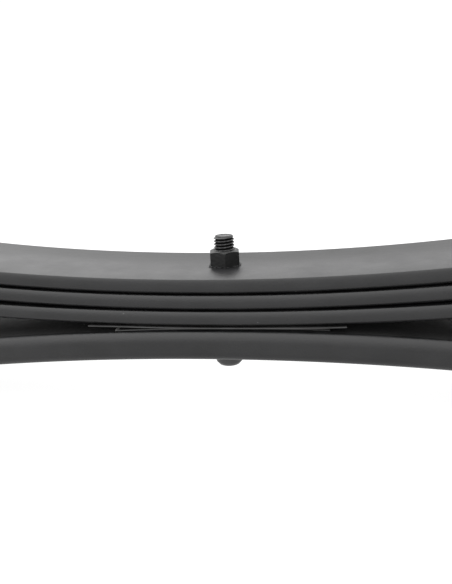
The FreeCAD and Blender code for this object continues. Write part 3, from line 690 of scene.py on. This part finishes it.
NUT_FLATS, NUT_TURN, PITCH_M10, THREAD_RADIUS = 14.0, 10.0, 1.5, 5.0
nut_low, nut_high = (c.z / MM for c in map(Vector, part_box("centre_nut")))
bolt_low, bolt_top = (c.z / MM for c in map(Vector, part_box("centre_bolt")))
bolt_rings = [disc_ring(r, z) for r, z in (
    (0.6, bolt_low + 0.25), (4.6, bolt_low + 0.2), (5.1, bolt_low), (5.3, bolt_low + 0.05),
    (6.55, bolt_low + 1.5), (6.7, bolt_low + 1.8), (6.7, -0.5), (6.45, -0.08), (THREAD_RADIUS, -0.02),
    (THREAD_RADIUS, nut_low + 1.0))]
bolt_rings += thread_rings(THREAD_RADIUS, PITCH_M10, nut_low + 2.0, bolt_top, 0.95)
bolt_rings += [disc_ring(r, bolt_top - drop) for r, drop in ((3.95, 0.0), (3.5, 0.0), (3.0, 0.3), (0.3, 0.45))]
centre_bolt = ring_piece("centre_bolt_turned", bolt_rings, Matrix(), THREAD_COAT, closed=False)
paint_where(centre_bolt, HEAD_COAT, lambda at, up: at.z < 0)
# painted shade: the thread's roots below the end take the near-black root finish
paint_where(centre_bolt, ROOT_SHADE_COAT, lambda at, up: at.z > nut_low and math.hypot(at.x, at.y) < 4.68 and
            at.z < bolt_top - 1.0)
paint_where(centre_bolt, NUT_COAT, lambda at, up: at.z > bolt_top - 0.9 and math.hypot(at.x, at.y) > 3.1)
settle_node(centre_bolt, "centre_bolt", "seat")

# %% Centre nut
nut_rings = hex_rings(NUT_FLATS, nut_high - nut_low, 4.5, turn=NUT_TURN - 60.0, chamfered=(False, True),
                      face_share=0.89)
centre_nut = ring_piece("centre_nut_hex", nut_rings, Matrix.Translation((0, 0, nut_low)), NUT_COAT, sharp=24.0)
settle_node(centre_nut, "centre_nut", "seat")


# %% [markdown]
# Paint gathers where the nut meets the leaf and dries there in small beads. The tree strings points along the
# nut's outline, moves each a little at random and puts a flattened bead of random size on it.

# %% Tree: paint beads
def build_bead_tree():
    tree, given, result = group_tree(
        "paint_beads", "GeometryNodeTree",
        {"Geometry": "Geometry", "Spacing": 0.0005, "Scatter": 0.0007, "Largest": 0.0008, "Seed": 3,
         "Material": "Material"},
        {"Geometry": "Geometry"})
    dots = put(tree, "GeometryNodeCurveToPoints", {"Curve": given["Geometry"], "Length": given["Spacing"]},
               mode="LENGTH")
    low, high = (put(tree, "ShaderNodeVectorMath", {0: corner, "Scale": given["Scatter"]}, operation="SCALE")
                 for corner in ((-1.0, -1.0, 0.0), (1.0, 1.0, 0.05)))
    nudge = put(tree, "FunctionNodeRandomValue",
                {0: low.outputs[0], 1: high.outputs[0], "Seed": given["Seed"]}, data_type="FLOAT_VECTOR")
    moved = put(tree, "GeometryNodeSetPosition",
                {"Geometry": dots.outputs["Points"], "Offset": nudge.outputs[0]})
    bead = put(tree, "GeometryNodeMeshIcoSphere", {"Radius": given["Largest"], "Subdivisions": 2})
    flat = put(tree, "GeometryNodeTransform", {"Geometry": bead.outputs[0], "Scale": (1.0, 1.0, 0.6)})
    luck = put(tree, "FunctionNodeRandomValue", {2: 0.0, 3: 1.0, "Seed": given["Seed"]}, data_type="FLOAT")
    size = math_node(tree, "MULTIPLY_ADD", math_node(tree, "POWER", luck.outputs[1], 2.0), 0.8, 0.2)
    placed = put(tree, "GeometryNodeInstanceOnPoints",
                 {"Points": moved.outputs[0], "Instance": flat.outputs[0], "Scale": size})
    return finish_tree(tree, placed.outputs[0], given["Material"], result)


BEAD_TREE = build_bead_tree()
outline = [(1.01 * r * math.cos(a), 1.01 * r * math.sin(a), nut_low + 0.1) for a, r in
           ((math.radians(t), hex_radius(math.radians(t + 60.0 - NUT_TURN), NUT_FLATS)) for t in range(0, 361, 4))]
beads = grow("centre_nut_paint_beads", BEAD_TREE, path_curve("outline", outline), {}, NUT_COAT)
settle_node(beads, "centre_nut", "seat")

# %% [markdown]
# ## The seat liners
#
# Two thin sheets lie between the third leaf and the overload leaf to keep them from fretting. They are
# sheared from strip, so they are a little wavy and their ends curl. Each is the same sweep as a leaf, with a
# thin section and a mid line that waves slightly.

# %% Liners
def liner(name, node, front, rear, z_mid, bend, width, wave, skew=0.0):
    """A sheet from -front to rear. bend lifts its mid line with the square of x, and skew turns it in degrees."""
    line = []
    for i in range(61):
        x = -front + (front + rear) * i / 60
        line.append((x, 0.0, z_mid + bend * x * x + wave * math.sin(x / 9.0) * (x / rear) ** 2))
    values = {"Width": width * MM, "Thickness": 0.6 * MM}
    values.update((edge, 0.1 * MM) for edge in ("Edge Depth", "Edge Height", "Lower Depth", "Lower Height"))
    piece = grow(name, LEAF_TREE, path_curve(name, line), values, LINER_SHEET)
    piece.data.transform(Matrix.Rotation(math.radians(skew), 4, "Z"))
    paint_where(piece, SHEARED, lambda at, up: at.x > rear - 0.9 if skew == 0 else at.x < 1.2 - front)
    settle_node(piece, node, "seat")


liner("upper_liner_sheet", "upper_seat_liner", 62.0, 58.0, 15.9, 1 / 2 / 1950.0, 58.0, 0.15)
liner("lower_liner_sheet", "lower_seat_liner", 50.0, 50.0, 15.0, -1 / 2 / 1421.0, 53.0, 0.0, skew=1.4)

# %% [markdown]
# ## The front bush
#
# The front eye holds a steel shell, a rubber moulded into it and an inner sleeve. Each is a section carried
# round the eye's axis. `vary` adds what a plain turned shape lacks: the shell's seam, the rubber's moulding
# ribs and the teeth that are pressed into the sleeve's end faces so that it cannot turn on its bracket.

# %% Shell and rubber
def both_ends(half_section, half):
    """A closed section for a piece with two like ends, from points (radius, distance in from the end)."""
    return [(r, half - d) for r, d in half_section] + [(r, d - half) for r, d in reversed(half_section)]


def seam(number, r, z, angle):
    """A narrow groove along the shell where its strip was rolled together, 4 radians round."""
    near = abs(math.atan2(math.sin(angle - 4.0), math.cos(angle - 4.0)))
    return r - (0.35 * max(0.0, 1 - near / 0.03) if r > 20 else 0.0), z


shell_section = both_ends([(19.5, 0.7), (19.75, 0.15), (20.0, 0.0), (20.45, 0.0), (20.75, 0.15),
                           (20.95, 0.8)], 29.0)
shell = ring_piece("front_eye_shell_rolled", turned(shell_section, 240, seam), axle(FRONT), BARE_STEEL)
settle_node(shell, "front_eye_shell", "front_eye")


def rubber_ribs(number, r, z, angle):
    """Twelve low ribs on the end faces and a faint parting line round the lip."""
    rib = max(0.0, math.cos(12 * angle)) ** 6
    if 13.0 < r < 17.6 and abs(z) > 29:
        z += math.copysign(0.55 * rib, z)
    if r > 19.6:
        r += 0.18 * max(0.0, math.cos(2 * angle)) ** 60
    return r, z


rubber_section = both_ends([(10.56, 1.4), (10.9, 0.35), (11.6, 0.1), (12.4, 0.5), (13.2, 1.25), (14.4, 1.5),
                            (16.2, 1.5), (17.4, 1.25), (18.2, 0.6), (19.0, 0.05), (19.9, 0.1), (20.8, 0.6),
                            (21.3, 1.3), (21.35, 1.9), (19.4, 1.96), (19.38, 4.0)], 32.0)
rubber = ring_piece("front_eye_rubber_moulded", turned(rubber_section, 288, rubber_ribs), axle(FRONT), RUBBER,
                    sharp=40.0)
settle_node(rubber, "front_eye_rubber", "front_eye")


# %% Sleeves
SLEEVE_HALF, SLEEVE_WALL, TEETH = 36.0, 3.4, 40


def sleeve_teeth(number, r, z, angle):
    """Sharp radial teeth on the two end faces."""
    if abs(z) > SLEEVE_HALF - 0.3:
        wave = abs((angle * TEETH / (2 * math.pi)) % 1.0 - 0.5) * 2
        z -= math.copysign(0.45 * wave, z)
    return r, z


def inner_sleeve(name, side, bore, node, body):
    radius = bore + SLEEVE_WALL
    section = both_ends([(bore, 1.3), (bore + 0.35, 0.6), (bore + 0.9, 0.0), (radius - 0.8, 0.0),
                         (radius - 0.25, 0.5), (radius, 1.1)], SLEEVE_HALF)
    made = ring_piece(name, turned(section, 320, sleeve_teeth), axle(side), ZINC, sharp=20.0)
    settle_node(made, node, body)


inner_sleeve("front_eye_sleeve_toothed", FRONT, 7.1, "front_eye_sleeve", "front_sleeve")
inner_sleeve("rear_eye_sleeve_toothed", REAR, 8.2, "rear_eye_sleeve", "rear_sleeve")


# %% [markdown]
# ## The rear bush
#
# The rear eye takes two half bushes, one from each side, whose flanges keep the shackle's plates off the
# steel. Ten shallow channels run across each flange's face for grease and water, and a flash line from the
# mould goes round its rim.

# %% Half bushes
def flange_channels(number, r, z, angle):
    """Ten channels across the flange's face, and the flash line stands out a little."""
    channel = max(0.0, math.cos(10 * angle)) ** 14
    if 14.4 < r < 24.5 and z > 33.8:
        z -= 0.9 * channel
    if r > 25.9:
        r += 0.2
    return r, z


half_bush_section = [(11.66, 1.9), (12.1, 1.5), (17.3, 1.5), (17.9, 2.2), (17.95, 29.4), (18.1, 30.06),
                     (24.9, 30.1), (25.6, 30.5), (25.85, 31.2), (25.86, 32.2), (25.95, 32.35), (25.95, 32.65),
                     (25.86, 32.8), (25.8, 33.9), (25.3, 34.7), (24.4, 35.05), (20.0, 35.05), (14.5, 35.05),
                     (13.4, 35.05), (12.9, 34.6), (12.2, 34.4), (11.7, 33.8)]
for label, facing in (("left", axle(REAR) @ Matrix.Rotation(math.pi, 4, "X")), ("right", axle(REAR))):
    half_bush = ring_piece(f"rear_eye_bush_{label}_moulded", turned(half_bush_section, 240, flange_channels),
                           facing, RUBBER, sharp=40.0)
    settle_node(half_bush, f"rear_eye_bush_{label}", "rear_eye")


# %% [markdown]
# ## The pads at the tips
#
# A pad is moulded to the curve of the two leaves that it lies between. Its top has grooves across it that let
# grit out, and a button on its underside snaps through a hole in the leaf. The pad is one side view carried
# across the leaf, drawn in a little at its two ends.

# %% Tip pads
PAD_GAP, PAD_HALF, GROOVE_PITCH = 0.3, 20.0, 4.5


def pad_loop(arc, slope, thickness, side, inset):
    """Side view of a pad: along its underside, then back along its grooved top. inset shrinks it all round."""
    cx, cz, radius = arc[:3]
    low = radius - THIN / 2 - PAD_GAP - inset
    high = radius - THIN / 2 - thickness + PAD_GAP + inset
    half = PAD_HALF - inset
    loop = [on_arc(cx, cz, low, slope + side * (-half + 2 * half * i / 40) / radius) for i in range(41)]
    for i in range(201):
        along = half - 2 * half * i / 200
        groove = 0.0
        if abs(along) < 18.0:
            groove = max(0.0, min(1.0, 1.8 - abs(((along + PAD_HALF) / GROOVE_PITCH) % 1.0 - 0.5) * 11))
        end = max(0.0, abs(along) - (half - 1.2)) * 0.7
        loop.append(on_arc(cx, cz, high + end + 0.22 * thickness * groove, slope + side * along / radius))
    return loop


def tip_pad(leaf, arc, side, thickness):
    end = SIDE_NAME[side]
    slope = math.asin((side * (LEAF_REACH[leaf][side] - PAD_SETBACK) - arc[0]) / arc[2])
    edges = ((24.0, 0.5), (23.5, 0.12), (22.8, 0.0))
    rings = [[(x, y, z) for x, z in pad_loop(arc, slope, thickness, side, inset)]
             for y, inset in [(-y, inset) for y, inset in edges] + list(reversed(edges))]
    name = f"{end}_{leaf}_leaf_pad_moulded"
    slab = ring_mesh(name, rings, closed=False)
    button = turned([(0.0, 0.0), (4.9, 0.0), (4.95, -8.0), (5.0, -THIN - 0.3), (6.3, -THIN - 0.5),
                     (6.2, -THIN - 0.9), (5.2, -THIN - 1.5), (1.6, -THIN - 1.5), (1.2, -THIN - 1.1),
                     (0.0, -THIN - 1.1)], 64)
    x, z = on_arc(*arc[:3], slope)
    raised = local_frame(x, z, slope) @ Matrix.Translation((0, 0, THIN / 2))
    joined = bmesh.new()
    joined.from_mesh(slab)
    joined.from_mesh(ring_mesh(name, move_rings(button, raised)))
    joined.to_mesh(slab)
    joined.free()
    pad = add_piece(name, slab, PAD_PLASTIC, sharp=28.0)
    settle_node(pad, f"{end}_{leaf}_leaf_pad", f"{end}_{leaf}_pad")


for side in (FRONT, REAR):
    tip_pad("second", SECOND[side][-1], side, SECOND_PAD)
    tip_pad("third", THIRD[side][-1], side, THIRD_PAD)


# %% [markdown]
# ## The rebound clips
#
# A clip keeps the leaves together when the axle drops. Its strap is riveted under the third leaf and comes
# up on both sides, and a bolt through its ears carries a tube that stops the ears from being squeezed in.
# The strap is a flat bar bent twice: its section is carried along a path in the plane across the leaves, its
# width falls off along a quarter circle at each ear, and three holes are then drilled.

# %% Clip measures
STRAP_INNER, STRAP, CLIP_WIDTH = 30.8, 4.0, 25.0
SPACER_RADIUS, SPACER_GAP = 6.9, 1.5              # the spacer tube and its room over the main leaf
CLIP_FLATS, CLIP_HEAD, CLIP_NUT = 12.0, 5.3, 6.5  # width across flats, head height and nut height
CLIP_STEPS = 120                                  # points round a clip's bolt and nut


def clip_frame(side):
    """Where a clip sits, and how high its bolt is over the third leaf's underside."""
    x = side * (LEAF_REACH["third"][side] - CLIP_SETBACK)
    cx, cz, r = arc_at(THIRD[side], x)[:3]
    slope = math.asin((x - cx) / r)
    foot = on_arc(cx, cz, r + THIN / 2 + 0.03, slope)
    away = (foot[0], foot[1] - MAIN_TOP - TOP_RADIUS)
    along = -away[0] * math.sin(slope) + away[1] * math.cos(slope)
    main_top = -along - math.sqrt(along * along - away[0] ** 2 - away[1] ** 2 + TOP_RADIUS ** 2)
    return local_frame(*foot, slope), main_top + SPACER_GAP + SPACER_RADIUS


def strap_path(ear):
    """The bar's mid line from ear to ear in its own plane, and the share of its width at each point."""
    mid, bend, steps = STRAP_INNER + STRAP / 2, 3.4, 10
    round_end = [math.radians(4.5 * i) for i in range(21)]
    side_line = [(mid, ear + CLIP_WIDTH / 2 * math.cos(a)) for a in round_end]
    shares = [max(0.04, math.sin(a)) for a in round_end]
    side_line += [(mid, ear - (ear - bend) * i / 8) for i in range(1, 9)]
    low = -STRAP / 2 - 0.15
    side_line += [(mid - bend + bend * math.cos(a), low + bend - bend * math.sin(a))
                  for a in (math.radians(90 * i / steps) for i in range(1, steps + 1))]
    shares += [1.0] * (len(side_line) - len(shares))
    other = [(-x, z) for x, z in reversed(side_line)]
    return side_line + other, shares + shares[::-1]


def hex_bolt_rings(flats, head, length, radius, pitch, thread_from):
    """A hexagon bolt standing on its head, with its thread at the top."""
    def discs(*pairs):
        return [disc_ring(r, z, CLIP_STEPS) for r, z in pairs]

    return [*discs((0.3, 0.5), (flats * 0.27, 0.42), (flats * 0.33, 0.0)),
            *hex_rings(flats, head - 0.3, 0, steps=CLIP_STEPS, chamfered=(True, False)),
            *discs((flats * 0.49, head - 0.3), (flats * 0.49, head), (radius, head), (radius, thread_from)),
            *thread_rings(radius, pitch, thread_from + 0.1, length, 0.8, depth=0.7, steps=CLIP_STEPS, fine=10),
            *discs((radius * 0.72, length), (0.3, length - 0.1))]


def bent_bar(name, line, shares, width, thickness, edge):
    """A flat bar along a path in the YZ plane, with softened edges. shares gives its width at each point."""
    rings = []
    for i, (y, z) in enumerate(line):
        (ya, za), (yb, zb) = line[max(0, i - 1)], line[min(len(line) - 1, i + 1)]
        run = math.hypot(yb - ya, zb - za)
        ny, nz = (za - zb) / run, (yb - ya) / run
        half, t = width / 2 * shares[i], thickness / 2
        e = min(edge, half * 0.7)
        corner = [(half - e, -t), (half - 0.29 * e, -t + 0.29 * e), (half, -t + e),
                  (half, t - e), (half - 0.29 * e, t - 0.29 * e), (half - e, t)]
        loop = corner + [(-x, -h) for x, h in corner]
        rings.append([(x, y + ny * h, z + nz * h) for x, h in loop])
    return ring_mesh(name, rings, closed=False)


# %% Clips
def hammered(number, r, z, angle):
    """The rivet's set head is a little out of round."""
    return r * (1 + 0.025 * math.sin(3 * angle + number) * (z > THIN)), z


def build_clip(side):
    end = SIDE_NAME[side]
    body = f"{end}_clip"
    base, ear = clip_frame(side)
    seat = STRAP_INNER + STRAP + 0.03
    line, shares = strap_path(ear)
    bar = bent_bar("strap", line, shares, CLIP_WIDTH, STRAP, 0.9)
    strap = add_piece(f"{end}_clip_strap_bent", bar, CLIP_PAINT)
    across = Matrix.Translation((0, 0, ear)) @ Matrix.Rotation(math.radians(-90), 4, "X")
    drill(strap, [(across @ Matrix.Translation((0, 0, -50)), 4.3, 100.0),
                  (Matrix.Translation((0, 0, -10)), 4.6, 15.0)])
    in_metres = base.copy()
    in_metres.translation = base.translation * MM
    strap.data.transform(in_metres)
    settle_node(strap, f"{end}_clip_strap", body)

    room = 1.2                                     # height of the rivet's set head over the leaf
    section = [(0.0, -8.0), (2.0, -7.85), (4.4, -7.2), (6.4, -6.0), (7.6, -4.75), (7.95, -4.35), (7.8, -4.17),
               (4.5, -4.17), (4.5, THIN + 0.25), (6.2, THIN + 0.27), (6.0, THIN + 0.8), (5.2, THIN + room),
               (3.4, THIN + room + 0.15), (0.0, THIN + room)]
    rivet = ring_piece(f"{end}_clip_rivet_set", turned(section, 96, hammered), base, CLIP_PAINT)
    settle_node(rivet, f"{end}_clip_rivet", body)

    length = 2 * seat + CLIP_HEAD + CLIP_NUT + 4.0
    bolt = ring_piece(f"{end}_clip_bolt_cut",
                      hex_bolt_rings(CLIP_FLATS, CLIP_HEAD, length, 4.0, 1.25, length - 16.0),
                      base @ across @ Matrix.Translation((0, 0, -seat - CLIP_HEAD)), ZINC, closed=False,
                      sharp=24.0)
    settle_node(bolt, f"{end}_clip_bolt", body)

    nut = ring_piece(f"{end}_clip_nut_cut", hex_rings(CLIP_FLATS, CLIP_NUT, 3.5, turn=12.0, steps=CLIP_STEPS),
                     base @ across @ Matrix.Translation((0, 0, seat)), ZINC, sharp=24.0)
    settle_node(nut, f"{end}_clip_nut", body)

    section = both_ends([(4.3, 0.4), (4.7, 0.0), (6.5, 0.0), (SPACER_RADIUS, 0.4)], STRAP_INNER - 0.1)
    open_tube = turned(section, 90, start=2.02, end=2.0 + 2 * math.pi - 0.02)    # its seam is left open
    spacer = ring_piece(f"{end}_clip_spacer_rolled", open_tube, base @ across, ZINC, closed=False)
    settle_node(spacer, f"{end}_clip_spacer", body)


for side in (FRONT, REAR):
    build_clip(side)
print("CAD nodes still shown:", [node for node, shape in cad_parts.items() if not shape.hide_render])

# %% [markdown]
# ## Camera, floor and light
#
# The camera looks a little down on the middle of the spring. The world is a soft white room that is
# brighter overhead, as a light tent is, and the floor is plain and pale.

# %% Camera
def look(target, yaw, elevation, roll, distance, lens):
    """Aims the camera at a target in millimetres. yaw turns it round the target from the -Y side, in degrees."""
    yaw, elevation, roll = (math.radians(a) for a in (yaw, elevation, roll))
    level = Vector((math.sin(yaw), -math.cos(yaw), 0))
    back = level * math.cos(elevation) + Vector((0, 0, math.sin(elevation)))
    right = Vector((math.cos(yaw), math.sin(yaw), 0))
    up = back.cross(right)
    x_axis = math.cos(roll) * right - math.sin(roll) * up
    y_axis = math.sin(roll) * right + math.cos(roll) * up
    camera = show("camera", bpy.data.cameras.new("camera"))
    turn = Matrix((x_axis, y_axis, back)).transposed().to_4x4()
    camera.matrix_world = Matrix.Translation((Vector(target) + back * distance) * MM) @ turn
    camera.data.lens, camera.data.sensor_width = lens, 36.0
    camera.data.clip_start = 0.01
    bpy.context.scene.camera = camera


look((-0.21, 0.0, MAIN_TOP - 13.81), 9.85, 15.15, 2.84, 310.9, 38.625)

# %% Floor
FLOOR_HALF, FLOOR_GAP = 12.0, 0.0002              # metres
floor_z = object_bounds()[0].z - FLOOR_GAP
floor_mesh = bpy.data.meshes.new("floor")
floor_mesh.from_pydata([(x * FLOOR_HALF, y * FLOOR_HALF, floor_z) for x, y in
                        ((-1, -1), (1, -1), (1, 1), (-1, 1))], [], [(0, 1, 2, 3)])
floor = show("floor", floor_mesh)
pale = bpy.data.materials.new("pale_floor")
pale.use_nodes = True
for label, value in {"Base Color": (0.12, 0.12, 0.12, 1), "Roughness": 0.9, "Specular IOR Level": 0.1,
                     "Emission Color": (1, 1, 1, 1), "Emission Strength": 0.92}.items():
    pale.node_tree.nodes["Principled BSDF"].inputs[label].default_value = value
floor_mesh.materials.append(pale)

# %% World and lamps
world = bpy.data.worlds.new("light_tent")
bpy.context.scene.world = world
world.use_nodes = True
sky = world.node_tree
direction = put(sky, "ShaderNodeTexCoord").outputs["Generated"]
ways = put(sky, "ShaderNodeSeparateXYZ", {0: direction}).outputs
# the room is lit from above, a little more from the camera's side and from the left
forward = math_node(sky, "MAXIMUM", math_node(sky, "MULTIPLY", ways["Y"], -0.31), 0.0)
height = math_node(sky, "ADD", ways["Z"], forward)
glow = put(sky, "ShaderNodeValToRGB", {"Fac": height})
stops = {0.0: 0.05, 0.1: 0.08, 0.2: 0.16, 0.26: 0.31, 0.34: 0.46, 0.6: 0.62, 1.0: 0.75}
ramp = glow.color_ramp.elements
for place in list(stops)[1:-1]:
    ramp.new(place)
for stop, (place, share) in zip(ramp, stops.items()):
    stop.position, stop.color = place, (share, share, share, 1)
leftward = math_node(sky, "MULTIPLY_ADD", ways["X"], -1.1, 4.2)
strong = put(sky, "ShaderNodeMath", {0: glow.outputs[0], 1: leftward}, operation="MULTIPLY")
seen_directly = put(sky, "ShaderNodeLightPath").outputs["Is Camera Ray"]
white = put(sky, "ShaderNodeMix", {"Factor": seen_directly, "A": strong.outputs[0], "B": 1.05},
            data_type="FLOAT")
sky.links.new(white.outputs[0], sky.nodes["Background"].inputs["Strength"])
sky.nodes["Background"].inputs["Color"].default_value = (1, 1, 1, 1)

lamp = bpy.data.lights.new("over_lamp", "AREA")
lamp.shape, lamp.size, lamp.energy = "SQUARE", 1.2, 6.0
over_lamp = show("over_lamp", lamp)
over_lamp.location = (-0.3, -0.2, 1.6)
over_lamp.rotation_euler = (-over_lamp.location).to_track_quat("-Z", "Y").to_euler()
bpy.context.scene.view_settings.view_transform = "Standard"
bpy.context.scene.view_settings.look = "None"
